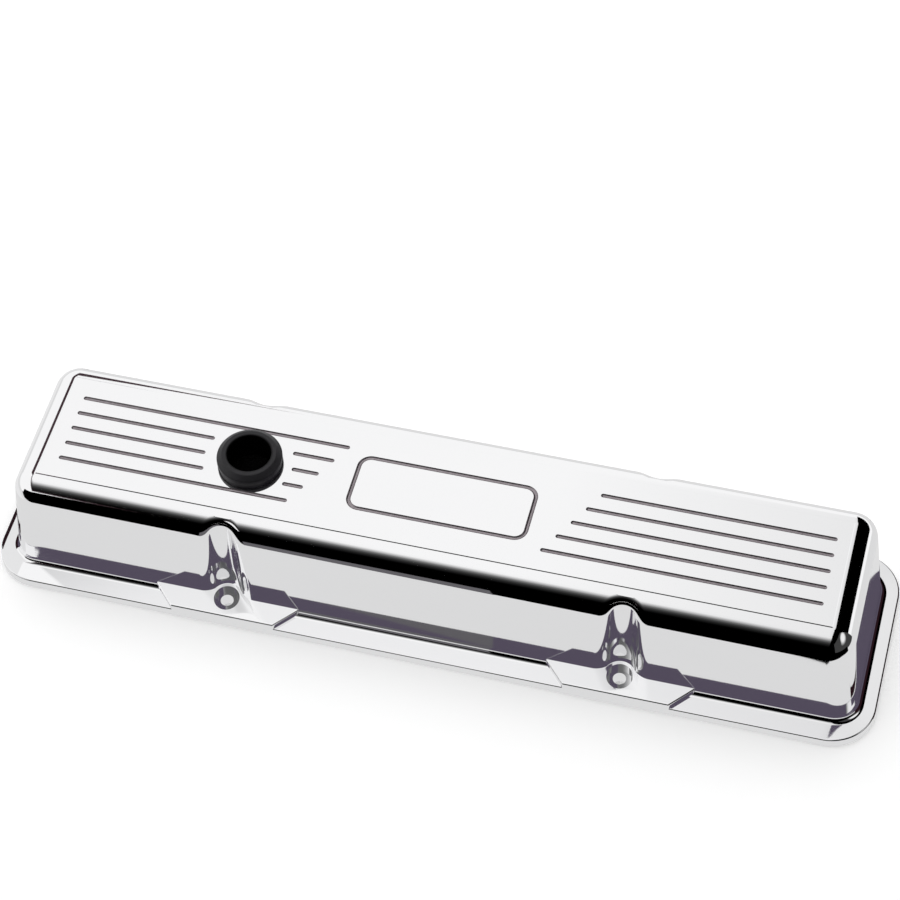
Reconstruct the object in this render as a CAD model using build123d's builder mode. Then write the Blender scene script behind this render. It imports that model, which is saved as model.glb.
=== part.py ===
from build123d import *
from math import radians, sqrt, tan
import os

# Cast aluminium valve cover, in millimetres.
# X runs along the cover, Y across it and Z up; the origin is the middle of the gasket face.

# Hollow body: a drafted box, so it is larger at the gasket face than at its top
body_length = 446.0
body_width = 93.5
body_height = 66.4
end_draft = 5.98
side_draft = 2.67
body_corner_radius = 13.0
top_edge_radius = 12.0
foot_radius = 3.5
wall = 4.0
roof = 4.5

# Gasket flange: flat below, its top falls a little from the body to the outer edge
flange_end_margin = 8.75
flange_side_margin = 11.25
flange_corner_radius = 23.5
flange_edge_height = 5.0
flange_edge_radius = 0.8
flange_slope = 8.0

# Milled panel on the top
panel_step = 0.4
panel_chamfer = 0.3
panel_margin = 0.2

# Bolt holes, with a pad, a sunk seat and a channel up the wall for each
bolt_spacing = 207.2
bolt_wall_distance = 0.95
bolt_hole_diameter = 6.8
seat_diameter = 13.4
seat_depth = 0.8
pad_height = 8.5
pad_foot_length = 76.6
pad_edge_length = 54.6
pad_edge_radius = 0.8
channel_radius = 8.5
channel_blend = 6.5

# Lines that a ball mill cut into the panel: five rows, whose inner ends are slanted
mill_radius = 1.25
mill_depth = 0.75
row_pitch = 9.8
row_slant = 5.5
left_line_margin = 9.7
right_line_margin = 7.9
right_line_start = 68.6

# Milled frame in the middle of the panel
frame_length = 92.0
frame_width = 32.0
frame_corner_radius = 6.0
frame_x = 1.0

# Breather hole, which the milled lines stop short of on both sides
breather_x = -100.0
breather_hole_diameter = 28.5
breather_left_clearance = 21.7
breather_right_clearance = 17.9
breather_line_reach = 35.2

# Rubber grommet in the breather hole
grommet_bore = 22.2
grommet_fit = 0.1
grommet_height = 7.0
grommet_crown_diameter = 28.0
grommet_lip_diameter = 33.6
grommet_shoulder_height = 4.6
grommet_foot_diameter = 32.4
grommet_foot_height = 1.8
grommet_tail_diameter = 31.6
grommet_tail_end_diameter = 28.0
grommet_tail_height = 5.0
grommet_tail_step = 1.6
grommet_round = 1.0

# Oil baffle under the breather, held by four screws on cast bosses
baffle_length = 118.0
baffle_width = 50.0
baffle_lip = 7.0
baffle_lip_corner_radius = 4.0
baffle_sheet = 1.2
baffle_bend_radius = 2.0
boss_diameter = 9.0
boss_height = 11.0
screw_end_distance = 9.0
screw_side_distance = 8.0
screw_diameter = 4.0
screw_length = 8.0
screw_thread_fit = 0.05
screw_clearance = 0.25
screw_tip_room = 1.0
screw_head_diameter = 7.6
screw_head_height = 2.6
screw_head_round = 0.8
screw_slot_width = 1.2
screw_slot_length = 4.4
screw_slot_depth = 1.3

# How far from its height an edge may lie and still be picked
pick_tolerance = 0.2

# Values that follow from the sizes above
end_lean = tan(radians(end_draft))
side_lean = tan(radians(side_draft))
flange_length = body_length + 2 * flange_end_margin
flange_width = body_width + 2 * flange_side_margin
flange_rise = (max(flange_end_margin, flange_side_margin) + wall / 2) * tan(radians(flange_slope))
end_rounding = top_edge_radius * tan(radians(45 - end_draft / 2))
side_rounding = top_edge_radius * tan(radians(45 - side_draft / 2))
panel_length = body_length - 2 * (body_height * end_lean + end_rounding + panel_margin)
panel_width = body_width - 2 * (body_height * side_lean + side_rounding + panel_margin)
panel_height = body_height + panel_step
mill_centre_height = panel_height - mill_depth + mill_radius
bolt_row_spacing = body_width + 2 * bolt_wall_distance
pad_inner_y = bolt_row_spacing / 2 - channel_radius - wall / 2
plate = roof + panel_step
roof_height = body_height - roof
baffle_top = roof_height - boss_height
screw_seat = baffle_top - baffle_sheet
screw_spacing = baffle_length - 2 * screw_end_distance
screw_row_spacing = baffle_width - 2 * screw_side_distance


def body_size(height, inset):
    """Length and width of the drafted body at a height, drawn in all round by an inset."""
    length = body_length - 2 * (height * end_lean + inset)
    width = body_width - 2 * (height * side_lean + inset)
    return length, width


def milled_lines():
    """Left end, right end and row of each milled line, with the rows counted from the middle."""
    left_ring = (breather_hole_diameter + breather_left_clearance) / 2
    right_ring = (breather_hole_diameter + breather_right_clearance) / 2
    lines = []
    for row in range(-2, 3):
        across = row_pitch * row
        slant = row_slant * row
        left_start = left_line_margin - panel_length / 2
        if abs(across) < grommet_lip_diameter / 2:
            lines.append((left_start, breather_x - sqrt(left_ring**2 - across**2), row))
            left_start = breather_x + sqrt(right_ring**2 - across**2)
        lines.append((left_start, breather_x + breather_line_reach + slant, row))
        lines.append((right_line_start + slant, panel_length / 2 - right_line_margin, row))
    return lines


def is_level_at(edge, height):
    """True for an edge that lies level at a height."""
    box = edge.bounding_box()
    return max(abs(box.min.Z - height), abs(box.max.Z - height)) < pick_tolerance


def is_foot_edge(edge):
    """True for the edges where the body's wall meets the top of the flange."""
    box = edge.bounding_box()
    inside = max(abs(box.min.X), abs(box.max.X)) < body_length / 2
    inside = inside and max(abs(box.min.Y), abs(box.max.Y)) < body_width / 2
    return inside and flange_edge_height < box.min.Z and box.max.Z < flange_edge_height + 2 * flange_rise


def is_flange_edge(edge):
    """True for the outer edge of the flange's top."""
    return is_level_at(edge, flange_edge_height)


def is_pad_corner(edge):
    """True for the upright edges of the bolt pads that stand free of the body's wall."""
    return edge.bounding_box().max.Z > pad_height - pick_tolerance and abs(edge.center().Y) > body_width / 2


def is_pad_rim(edge):
    """True for the top edges of the bolt pads that stand free of the body's wall."""
    return is_level_at(edge, pad_height) and abs(edge.center().Y) > body_width / 2


# The core is the space that the casting leaves hollow, with the bosses of the baffle in it
with BuildPart() as core:
    with BuildSketch():
        RectangleRounded(*body_size(0, wall), body_corner_radius - wall)
    with BuildSketch(Plane.XY.offset(roof_height)):
        RectangleRounded(*body_size(roof_height, wall), body_corner_radius - wall)
    loft(ruled=True)
    fillet(core.faces().sort_by(Axis.Z)[-1].edges(), top_edge_radius - wall)
    with BuildSketch():
        with GridLocations(bolt_spacing, bolt_row_spacing, 2, 2):
            Circle(channel_radius + wall)
    extrude(amount=body_height, mode=Mode.SUBTRACT)
    with BuildSketch(Plane.XY.offset(baffle_top)):
        with Locations((breather_x, 0)):
            with GridLocations(screw_spacing, screw_row_spacing, 2, 2):
                Circle(boss_diameter / 2)
    extrude(amount=boss_height, mode=Mode.SUBTRACT)

# The path of the ball mill round the frame
with BuildSketch(Plane.XY.offset(mill_centre_height)) as frame_outline:
    with Locations((frame_x, 0)):
        RectangleRounded(frame_length, frame_width, frame_corner_radius)
frame_path = frame_outline.sketch.face().outer_wire()

with BuildPart() as casting:
    # Body with its rounded top edge
    with BuildSketch():
        RectangleRounded(*body_size(0, 0), body_corner_radius)
    with BuildSketch(Plane.XY.offset(body_height)):
        RectangleRounded(*body_size(body_height, 0), body_corner_radius)
    loft(ruled=True)
    fillet(casting.faces().sort_by(Axis.Z)[-1].edges(), top_edge_radius)

    # Channels that let each bolt come straight down beside the wall
    with BuildSketch():
        with GridLocations(bolt_spacing, bolt_row_spacing, 2, 2):
            Circle(channel_radius)
    extrude(amount=body_height, mode=Mode.SUBTRACT)
    channel_rims = casting.edges(Select.LAST).filter_by(lambda edge: edge.bounding_box().max.Z > pad_height)
    fillet(channel_rims, channel_blend)

    # Flange, with the fillet at the foot of the body
    with BuildSketch():
        RectangleRounded(flange_length, flange_width, flange_corner_radius)
    extrude(amount=flange_edge_height)
    with BuildSketch(Plane.XY.offset(flange_edge_height)):
        RectangleRounded(flange_length, flange_width, flange_corner_radius)
    extrude(amount=flange_rise, taper=90 - flange_slope)
    fillet(casting.edges().filter_by(is_foot_edge), foot_radius)
    fillet(casting.edges().filter_by(is_flange_edge), flange_edge_radius)

    # Bolt pads, flush with the flange's outer edge
    for side in (-1, 1):
        with BuildSketch():
            with GridLocations(bolt_spacing, 0, 2, 1):
                Polygon(
                    (-pad_foot_length / 2, side * pad_inner_y),
                    (-pad_foot_length / 2, side * body_width / 2),
                    (-pad_edge_length / 2, side * flange_width / 2),
                    (pad_edge_length / 2, side * flange_width / 2),
                    (pad_foot_length / 2, side * body_width / 2),
                    (pad_foot_length / 2, side * pad_inner_y),
                    align=None,
                )
        extrude(amount=pad_height)
    pad_corners = casting.edges().filter_by(Axis.Z).filter_by(is_pad_corner)
    fillet(pad_corners, pad_edge_radius)
    fillet(casting.edges().filter_by(is_pad_rim), pad_edge_radius)

    # Hollow inside
    add(core.part, mode=Mode.SUBTRACT)

    # Milled panel with its lines and its frame
    with BuildSketch(Plane.XY.offset(body_height)):
        Rectangle(panel_length, panel_width)
    extrude(amount=panel_step)
    chamfer(casting.faces().sort_by(Axis.Z)[-1].edges(), panel_chamfer)
    for start, end, row in milled_lines():
        left = (start, row * row_pitch, mill_centre_height)
        right = (end, row * row_pitch, mill_centre_height)
        with BuildSketch(Plane(origin=left, x_dir=(0, 1, 0), z_dir=(1, 0, 0))):
            Circle(mill_radius)
        extrude(amount=end - start, mode=Mode.SUBTRACT)
        with Locations(left, right):
            Sphere(mill_radius, mode=Mode.SUBTRACT)
    with BuildSketch(Plane(origin=frame_path @ 0, z_dir=frame_path % 0)):
        Circle(mill_radius)
    sweep(path=frame_path, mode=Mode.SUBTRACT)

    # Breather hole, bolt holes in their seats, and screw holes in the bosses
    with Locations((breather_x, 0, panel_height)):
        Hole(breather_hole_diameter / 2, depth=2 * plate)
    with Locations((0, 0, pad_height)):
        with GridLocations(bolt_spacing, bolt_row_spacing, 2, 2):
            CounterBoreHole(bolt_hole_diameter / 2, seat_diameter / 2, seat_depth, depth=2 * pad_height)
    with BuildSketch(Plane.XY.offset(baffle_top)):
        with Locations((breather_x, 0)):
            with GridLocations(screw_spacing, screw_row_spacing, 2, 2):
                Circle(screw_diameter / 2 + screw_thread_fit)
    extrude(amount=screw_length - baffle_sheet + screw_tip_room, mode=Mode.SUBTRACT)
casting.part.label = "cover_casting"

# Grommet: one turned profile, which grips the top plate between its foot and its tail
with BuildPart() as grommet:
    with BuildSketch(Plane.XZ) as grommet_profile:
        with BuildLine():
            Polyline(
                (grommet_bore / 2, -plate - grommet_tail_height),
                (grommet_bore / 2, grommet_height),
                (grommet_crown_diameter / 2, grommet_height),
                (grommet_lip_diameter / 2, grommet_shoulder_height),
                (grommet_lip_diameter / 2, grommet_foot_height),
                (grommet_foot_diameter / 2, grommet_foot_height),
                (grommet_foot_diameter / 2, 0),
                (breather_hole_diameter / 2 - grommet_fit, 0),
                (breather_hole_diameter / 2 - grommet_fit, -plate),
                (grommet_tail_diameter / 2, -plate),
                (grommet_tail_diameter / 2, -plate - grommet_tail_step),
                (grommet_tail_end_diameter / 2, -plate - grommet_tail_height),
                close=True,
            )
        make_face()
        lowest_round = grommet_foot_height + pick_tolerance
        fillet(grommet_profile.vertices().filter_by(lambda corner: corner.Y > lowest_round), grommet_round)
    revolve(axis=Axis.Z)
breather_grommet = grommet.part.moved(Location((breather_x, 0, panel_height)))
breather_grommet.label = "breather_grommet"

# Baffle: a folded sheet whose two long lips shed the oil
with BuildPart() as baffle:
    baffle_end = (breather_x - baffle_length / 2, 0, baffle_top)
    with BuildSketch(Plane(origin=baffle_end, x_dir=(0, 1, 0), z_dir=(1, 0, 0))):
        with BuildLine():
            FilletPolyline(
                (-baffle_width / 2, -baffle_lip),
                (-baffle_width / 2, 0),
                (baffle_width / 2, 0),
                (baffle_width / 2, -baffle_lip),
                radius=baffle_bend_radius + baffle_sheet,
            )
            offset(amount=baffle_sheet, side=Side.RIGHT)
        make_face()
    extrude(amount=baffle_length)
    with BuildSketch(Plane.XY.offset(baffle_top)):
        with Locations((breather_x, 0)):
            with GridLocations(screw_spacing, screw_row_spacing, 2, 2):
                Circle(screw_diameter / 2 + screw_clearance)
    extrude(amount=-baffle_sheet, mode=Mode.SUBTRACT)
    fillet(baffle.edges().filter_by(Axis.Y).group_by(Axis.Z)[0], baffle_lip_corner_radius)
baffle.part.label = "oil_baffle"

# Screws: four slotted cheese heads, driven upwards into the bosses
with BuildPart() as screws:
    with BuildSketch(Plane.XY.offset(screw_seat)):
        with Locations((breather_x, 0)):
            with GridLocations(screw_spacing, screw_row_spacing, 2, 2):
                Circle(screw_head_diameter / 2)
    extrude(amount=-screw_head_height)
    fillet(screws.faces().sort_by(Axis.Z)[0:4].edges(), screw_head_round)
    with BuildSketch(Plane.XY.offset(screw_seat - screw_head_height)):
        with Locations((breather_x, 0)):
            with GridLocations(screw_spacing, screw_row_spacing, 2, 2):
                Rectangle(screw_slot_length, screw_slot_width)
                Rectangle(screw_slot_width, screw_slot_length)
    extrude(amount=screw_slot_depth, mode=Mode.SUBTRACT)
    with BuildSketch(Plane.XY.offset(screw_seat)):
        with Locations((breather_x, 0)):
            with GridLocations(screw_spacing, screw_row_spacing, 2, 2):
                Circle(screw_diameter / 2)
    extrude(amount=screw_length)
screws.part.label = "baffle_screws"

os.makedirs("parts", exist_ok=True)
export_step(casting.part, "parts/cover_casting.step")
export_step(breather_grommet, "parts/breather_grommet.step")
export_step(baffle.part, "parts/oil_baffle.step")
export_step(screws.part, "parts/baffle_screws.step")
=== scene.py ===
"""Looks of a mirror-polished cast aluminium valve cover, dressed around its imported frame.

The classes hold their sizes in millimetres, in the frame's own axes: X along the cover, Y across it, Z up.
Meshes are written in metres.
"""

import logging
import math
from collections.abc import Callable
from dataclasses import dataclass, field
from enum import Enum

import bmesh
import bpy
import numpy as np
from mathutils import Matrix, Vector


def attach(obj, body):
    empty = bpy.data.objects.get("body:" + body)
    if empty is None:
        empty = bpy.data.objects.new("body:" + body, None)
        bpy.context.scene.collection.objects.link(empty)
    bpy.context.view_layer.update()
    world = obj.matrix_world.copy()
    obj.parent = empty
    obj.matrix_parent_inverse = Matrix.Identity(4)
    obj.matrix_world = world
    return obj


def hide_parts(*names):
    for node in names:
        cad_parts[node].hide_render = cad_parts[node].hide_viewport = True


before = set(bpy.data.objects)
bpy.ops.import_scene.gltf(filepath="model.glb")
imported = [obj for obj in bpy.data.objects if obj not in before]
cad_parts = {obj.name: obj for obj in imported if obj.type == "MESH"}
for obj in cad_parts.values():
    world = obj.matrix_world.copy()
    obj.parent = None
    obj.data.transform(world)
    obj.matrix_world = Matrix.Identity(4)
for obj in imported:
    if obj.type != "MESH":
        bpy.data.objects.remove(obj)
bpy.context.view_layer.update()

METRE = 0.001
MERGED_M = 2e-7
SLIVER_M = 1e-8
TINY = 1e-12
PARALLEL = 1e-9
ENDS = ((-1, -1), (-1, 1), (1, -1), (1, 1))
QUARTERS = ((1, -1), (1, 1), (-1, 1), (-1, -1))
WHITE = (1.0, 1.0, 1.0, 1.0)
BLACK = (0.0, 0.0, 0.0, 1.0)
log = logging.getLogger("valve_cover")


class Zone(Enum):
    """The surfaces of the casting that differ in finish."""

    POLISHED = 0
    AS_CAST = 1
    FACED = 2
    MILLED = 3


class Way(Enum):
    """How one solid is combined with another."""

    JOIN = "UNION"
    CUT = "DIFFERENCE"


# Meshes


def mesh_piece(name: str, points: np.ndarray, faces: list) -> bpy.types.Object:
    """Make an object from points in millimetres.

    Args:
        name: Name of the object and of its mesh.
        points: Array of points, one row each.
        faces: Lists of point indices, one for each face.

    Returns:
        The linked object, at the origin, with its normals pointing outwards.
    """
    mesh = bpy.data.meshes.new(name)
    mesh.from_pydata((points * METRE).tolist(), [], faces)
    work = bmesh.new()
    work.from_mesh(mesh)
    bmesh.ops.remove_doubles(work, verts=work.verts, dist=MERGED_M)
    bmesh.ops.dissolve_degenerate(work, edges=work.edges, dist=SLIVER_M)
    bmesh.ops.recalc_face_normals(work, faces=work.faces)
    work.to_mesh(mesh)
    work.free()
    piece = bpy.data.objects.new(name, mesh)
    bpy.context.scene.collection.objects.link(piece)
    return piece


def tube_faces(rings: int, around: int, caps: bool, closed: bool) -> list:
    """Index the quads of a stack of closed rings.

    Args:
        rings: How many rings there are.
        around: Points in each ring.
        caps: Whether the first and the last ring are closed by a flat face.
        closed: Whether the last ring joins the first again.

    Returns:
        Faces as lists of indices.
    """
    steps = np.arange(rings if closed else rings - 1)[:, None]
    ring, after = steps * around, (steps + 1) % rings * around
    here = np.arange(around)[None, :]
    there = (here + 1) % around
    quads = np.stack([ring + here, ring + there, after + there, after + here], axis=-1)
    faces = quads.reshape(-1, 4).tolist()
    if caps and not closed:
        faces.append(list(range(around)))
        faces.append(list(range((rings - 1) * around, rings * around)))
    return faces


def stack_piece(name: str, rings: np.ndarray, caps: bool = True, closed: bool = False) -> bpy.types.Object:
    """Make an object from rings of points, an array of rings by points by three."""
    return mesh_piece(name, rings.reshape(-1, 3), tube_faces(*rings.shape[:2], caps, closed))


def revolved(name: str, profile: np.ndarray, centre: tuple, around: int) -> bpy.types.Object:
    """Turn a profile about an upright axis.

    Each point (r, z) of the profile becomes the ring (x + r cos a, y + r sin a, z).

    Args:
        name: Name of the object.
        profile: Closed profile as rows of radius and height; it may touch the axis.
        centre: X and Y of the axis.
        around: Points in each ring.

    Returns:
        The closed solid.
    """
    angle = np.linspace(0, 2 * np.pi, around, endpoint=False)
    radius, height = profile[:, 0][:, None], profile[:, 1][:, None]
    rings = np.stack(
        [centre[0] + radius * np.cos(angle), centre[1] + radius * np.sin(angle), height + 0 * angle], axis=-1
    )
    on_axis = profile[0, 0] == 0 and profile[-1, 0] == 0
    return stack_piece(name, rings, caps=on_axis, closed=not on_axis)


def rod(name: str, radius: float, low: float, high: float, centre: tuple, around: int) -> bpy.types.Object:
    """Make an upright rod, the turned profile of a radius between two heights."""
    return revolved(name, np.array([[0, low], [radius, low], [radius, high], [0, high]]), centre, around)


def rounded_way(half: np.ndarray, radius: float, steps: int) -> tuple:
    """Points round a rounded rectangle, anticlockwise, from the front right corner.

    Each corner is an arc of the radius about the arc centre there, (x, y) = centre + radius (cos a, sin a).

    Args:
        half: Half sizes of the rectangle of the arc centres.
        radius: Radius of the corners.
        steps: Points in each corner.

    Returns:
        The points and the outward direction at each.
    """
    turn = np.linspace(0, math.pi / 2, steps)
    angle = (turn + np.arange(-1, 3)[:, None] * math.pi / 2).reshape(-1)
    direction = np.column_stack([np.cos(angle), np.sin(angle)])
    return np.repeat(half * np.array(QUARTERS), steps, axis=0) + radius * direction, direction


def rounded_profile(corners: list, steps: int) -> np.ndarray:
    """Replace the corners of a closed profile by arcs.

    An arc starts and ends where its two sides touch the circle, at the radius over the tangent of half the
    angle between them.

    Args:
        corners: Rows of two coordinates and the radius of the arc, 0 for a sharp corner.
        steps: Points in each arc.

    Returns:
        The points of the profile.
    """
    points = np.array([corner[:2] for corner in corners], float)
    found = []
    for index, (x, y, radius) in enumerate(corners):
        here = np.array([x, y])
        if radius == 0:
            found.append(here[None])
            continue
        before = points[index - 1] - here
        after = points[(index + 1) % len(points)] - here
        before, after = before / np.linalg.norm(before), after / np.linalg.norm(after)
        half = math.acos(np.clip(before @ after, -1, 1)) / 2
        bisector = (before + after) / np.linalg.norm(before + after)
        centre = here + bisector * radius / math.sin(half)
        first = here + before * radius / math.tan(half) - centre
        last = here + after * radius / math.tan(half) - centre
        share = np.linspace(0, 1, steps)[:, None]
        sweep = first * (1 - share) + last * share
        found.append(centre + radius * sweep / np.linalg.norm(sweep, axis=1)[:, None])
    return np.concatenate(found)


def joined(name: str, pieces: list) -> bpy.types.Object:
    """Join objects into one, whose name is given."""
    bpy.ops.object.select_all(action="DESELECT")
    for piece in pieces:
        piece.select_set(True)
    bpy.context.view_layer.objects.active = pieces[0]
    bpy.ops.object.join()
    pieces[0].name = name
    return pieces[0]


def settle(piece: bpy.types.Object) -> None:
    """Make the piece's modifiers part of its mesh."""
    graph = bpy.context.evaluated_depsgraph_get()
    made = bpy.data.meshes.new_from_object(piece.evaluated_get(graph), depsgraph=graph)
    piece.modifiers.clear()
    old = piece.data
    piece.data = made
    made.name = piece.name
    bpy.data.meshes.remove(old)


def combine(target: bpy.types.Object, tool: bpy.types.Object, way: Way) -> None:
    """Join a solid to the target or cut it away, and drop the tool."""
    modifier = target.modifiers.new("combine", "BOOLEAN")
    modifier.object = tool
    modifier.operation = way.value
    modifier.solver = "EXACT"
    modifier.material_mode = "TRANSFER"
    settle(target)
    bpy.data.objects.remove(tool)


def read(items: bpy.types.bpy_prop_collection, name: str, width: int, kind: type = np.float32) -> np.ndarray:
    """One property of all the items of a mesh, as an array with a row of that width for each."""
    values = np.zeros(len(items) * width, kind)
    items.foreach_get(name, values)
    return values.reshape(-1, width)


def soften(mesh: bpy.types.Mesh, angle: float) -> None:
    """Shade a mesh smooth, but sharp at edges that turn by more than an angle in degrees."""
    mesh.polygons.foreach_set("use_smooth", np.ones(len(mesh.polygons), bool))
    mesh.set_sharp_from_angle(angle=math.radians(angle))


# Distances, whose zero is the surface of the metal


@dataclass
class Field:
    """A signed distance at many points, with the direction in which it grows fastest."""

    distance: np.ndarray
    normal: np.ndarray

    def __neg__(self) -> "Field":
        """The same surface seen from its other side."""
        return Field(-self.distance, -self.normal)


def rounded_edge(first: Field, second: Field, radius: float) -> Field:
    """Meet two surfaces in a convex edge that a rolling ball has rounded.

    The ball's centre is one radius inside both surfaces. Where a point lies between the ball's two contacts,
    its distance is that from the centre less the radius, with the offset from the centre worked out from its
    parts along the two normals. Elsewhere the nearer surface counts alone.

    Args:
        first: One surface.
        second: The other surface.
        radius: Radius of the ball.

    Returns:
        The field of the rounded edge.
    """
    one, two = first.distance + radius, second.distance + radius
    cosine = np.sum(first.normal * second.normal, axis=1)
    spread = np.maximum(1 - cosine**2, PARALLEL)
    along_one, along_two = (one - cosine * two) / spread, (two - cosine * one) / spread
    offset = along_one[:, None] * first.normal + along_two[:, None] * second.normal
    length = np.maximum(np.linalg.norm(offset, axis=1), TINY)
    between = (along_one > 0) & (along_two > 0)
    nearer = first.distance >= second.distance
    distance = np.where(between, length - radius, np.maximum(first.distance, second.distance))
    plain = np.where(nearer[:, None], first.normal, second.normal)
    return Field(distance, np.where(between[:, None], offset / length[:, None], plain))


def rounded_box(across: np.ndarray, half: np.ndarray, radius: float) -> tuple:
    """Signed distance in plan to a rounded rectangle, and its outward direction.

    Args:
        across: Points in plan.
        half: Half length and half width, as one row or a row for each point.
        radius: Corner radius.

    Returns:
        The distance of each point, and its outward direction as a row of two.
    """
    size = np.abs(across) - half + radius
    corner = np.linalg.norm(np.maximum(size, 0), axis=1)
    in_corner = (size > 0).all(axis=1)
    distance = np.where(in_corner, corner, size.max(axis=1)) - radius
    lengthwise = (size[:, 0] > size[:, 1])[:, None]
    straight = np.where(lengthwise, [[1.0, 0.0]], [[0.0, 1.0]])
    direction = np.where(in_corner[:, None], size / np.maximum(corner, TINY)[:, None], straight)
    return distance, direction * np.where(across < 0, -1.0, 1.0)


@dataclass
class CoverForm:
    """Outer form of the cover: drafted body, rounded top, bolt channels and sloping flange."""

    body_length: float = 446.0
    body_width: float = 93.5
    body_height: float = 66.4
    end_draft: float = 5.98
    side_draft: float = 2.67
    corner_radius: float = 13.0
    top_radius: float = 12.0
    foot_radius: float = 3.5
    flange_end_margin: float = 8.75
    flange_side_margin: float = 11.25
    flange_corner_radius: float = 23.5
    flange_edge_height: float = 5.0
    flange_edge_radius: float = 0.8
    flange_slope: float = 8.0
    flange_end_slope: float = 0.4
    panel_step: float = 0.4
    panel_chamfer: float = 0.3
    panel_margin: float = 0.2
    bolt_spacing: float = 207.2
    bolt_wall_distance: float = 0.95
    channel_radius: float = 8.5
    channel_blend: float = 6.5
    breather_x: float = -100.0
    halvings: int = 44

    def __post_init__(self) -> None:
        """Work out the sizes that follow from the others."""
        self.lean = np.tan(np.radians([self.end_draft, self.side_draft]))
        self.foot_half = np.array([self.body_length, self.body_width]) / 2
        self.flange_half = self.foot_half + [self.flange_end_margin, self.flange_side_margin]
        self.bolt = np.array([self.bolt_spacing / 2, self.body_width / 2 + self.bolt_wall_distance])
        self.falls = np.tan(np.radians([self.flange_end_slope, self.flange_slope]))
        self.fall = self.falls[1]
        self.round_height = self.body_height - self.top_radius
        drafts = np.radians([self.end_draft, self.side_draft])
        tangent = self.top_radius * np.tan(math.pi / 4 - drafts / 2)
        self.panel_half = self.foot_half - self.body_height * self.lean - tangent - self.panel_margin
        self.panel_height = self.body_height + self.panel_step

    def body(self, points: np.ndarray) -> Field:
        """Field of the drafted body with its rounded top edge.

        The wall's distance is the plan distance to the outline at that height, divided by the length of
        (1, lean). Round the top edge it is the distance from the ball's centre less the ball's radius.
        """
        half = self.foot_half - points[:, 2:] * self.lean
        plan, direction = rounded_box(points[:, :2], half, self.corner_radius)
        lean = np.abs(direction) @ self.lean
        slant = np.sqrt(1 + lean**2)
        rise = points[:, 2] - self.round_height
        out = plan + self.top_radius * slant - lean * rise
        reach = np.maximum(np.hypot(out, rise), TINY)
        rounded = (out > 0) & (rise - lean * out > 0)
        above = (out <= 0) & (rise > 0)
        distance = np.where(rounded, reach - self.top_radius, plan / slant)
        distance = np.where(above, points[:, 2] - self.body_height, distance)
        outward = np.where(rounded, out / reach, 1 / slant) * ~above
        upward = np.where(rounded, rise / reach, lean / slant)
        upward = np.where(above, 1.0, upward)
        return Field(distance, np.column_stack([direction * outward[:, None], upward]))

    def channels(self, points: np.ndarray) -> Field:
        """Field of what the four upright channels leave, which grows towards their axes."""
        side = np.where(points[:, :2] < 0, -1.0, 1.0)
        offset = np.abs(points[:, :2]) - self.bolt
        reach = np.maximum(np.linalg.norm(offset, axis=1), TINY)
        normal = np.column_stack([-offset / reach[:, None] * side, 0 * reach])
        return Field(self.channel_radius - reach, normal)

    def fall_towards(self, direction: np.ndarray) -> np.ndarray:
        """Fall of the flange's top: the ends' by the square of x and the sides' by the square of y."""
        return direction**2 @ self.falls

    def flange_top(self, points: np.ndarray) -> Field:
        """Field of the flange's top, which falls towards the outer edge."""
        plan, direction = rounded_box(points[:, :2], self.flange_half, self.flange_corner_radius)
        fall = self.fall_towards(direction)
        cosine = 1 / np.hypot(1, fall)
        height = self.flange_edge_height - plan * fall
        normal = np.column_stack([direction * (fall * cosine)[:, None], cosine])
        return Field((points[:, 2] - height) * cosine, normal)

    def skin(self, points: np.ndarray) -> Field:
        """Field of the body with its channels, filleted into the top of the flange."""
        walls = rounded_edge(self.body(points), self.channels(points), self.channel_blend)
        return -rounded_edge(-walls, -self.flange_top(points), self.foot_radius)

    def meet(self, starts: np.ndarray, directions: np.ndarray, reach: float) -> np.ndarray:
        """Follow rays from outside the metal to its skin by halving steps.

        Args:
            starts: Points outside the metal.
            directions: Unit directions that lead into it.
            reach: Distance by which each ray is inside.

        Returns:
            The points where the rays meet the skin.
        """
        low, high = np.zeros(len(starts)), np.full(len(starts), reach)
        for _ in range(self.halvings):
            middle = (low + high) / 2
            outside = self.skin(starts + middle[:, None] * directions).distance > 0
            low, high = np.where(outside, middle, low), np.where(outside, high, middle)
        return starts + high[:, None] * directions


def ring_at(plan: np.ndarray, height: np.ndarray | float) -> np.ndarray:
    """One ring from its points in plan and their heights."""
    return np.column_stack([plan, np.broadcast_to(height, len(plan))])


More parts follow.
